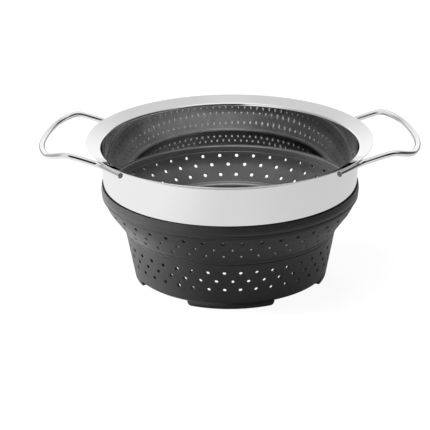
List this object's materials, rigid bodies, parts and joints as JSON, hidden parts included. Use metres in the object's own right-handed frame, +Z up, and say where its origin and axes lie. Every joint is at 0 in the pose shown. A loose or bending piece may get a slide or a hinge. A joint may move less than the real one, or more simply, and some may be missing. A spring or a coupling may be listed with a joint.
{
  "type": "folding steamer basket",
  "caption": "Perforated silicone steamer basket that folds up into a polished steel ring with a flared rim and two wire handles.",
  "frame": {"origin": "middle of the basket on the surface that its feet stand on", "axes": "+Z up, handles along +X and -X, one of the four feet faces -Y"},
  "size_m": [0.3444, 0.2596, 0.1369],
  "materials": {
    "polished_steel": "mirror-polished stainless steel sheet and wire",
    "dark_silicone": "satin dark grey moulded silicone"
  },
  "bodies": {
    "ring": {"rim_ring": "polished_steel", "handle_left": "polished_steel", "handle_right": "polished_steel", "silicone_collar": "dark_silicone", "upper_band": "dark_silicone"},
    "cup": {"fold_rib": "dark_silicone", "cup_wall": "dark_silicone", "cup_floor": "dark_silicone", "foot_front": "dark_silicone", "foot_back": "dark_silicone", "foot_left": "dark_silicone", "foot_right": "dark_silicone"}
  },
  "joints": [
    {"name": "fold", "type": "slide", "parent": "ring", "child": "cup", "axis": [0, 0, 1], "range_m": [0, 0.055], "deforming": ["upper_band"]}
  ]
}
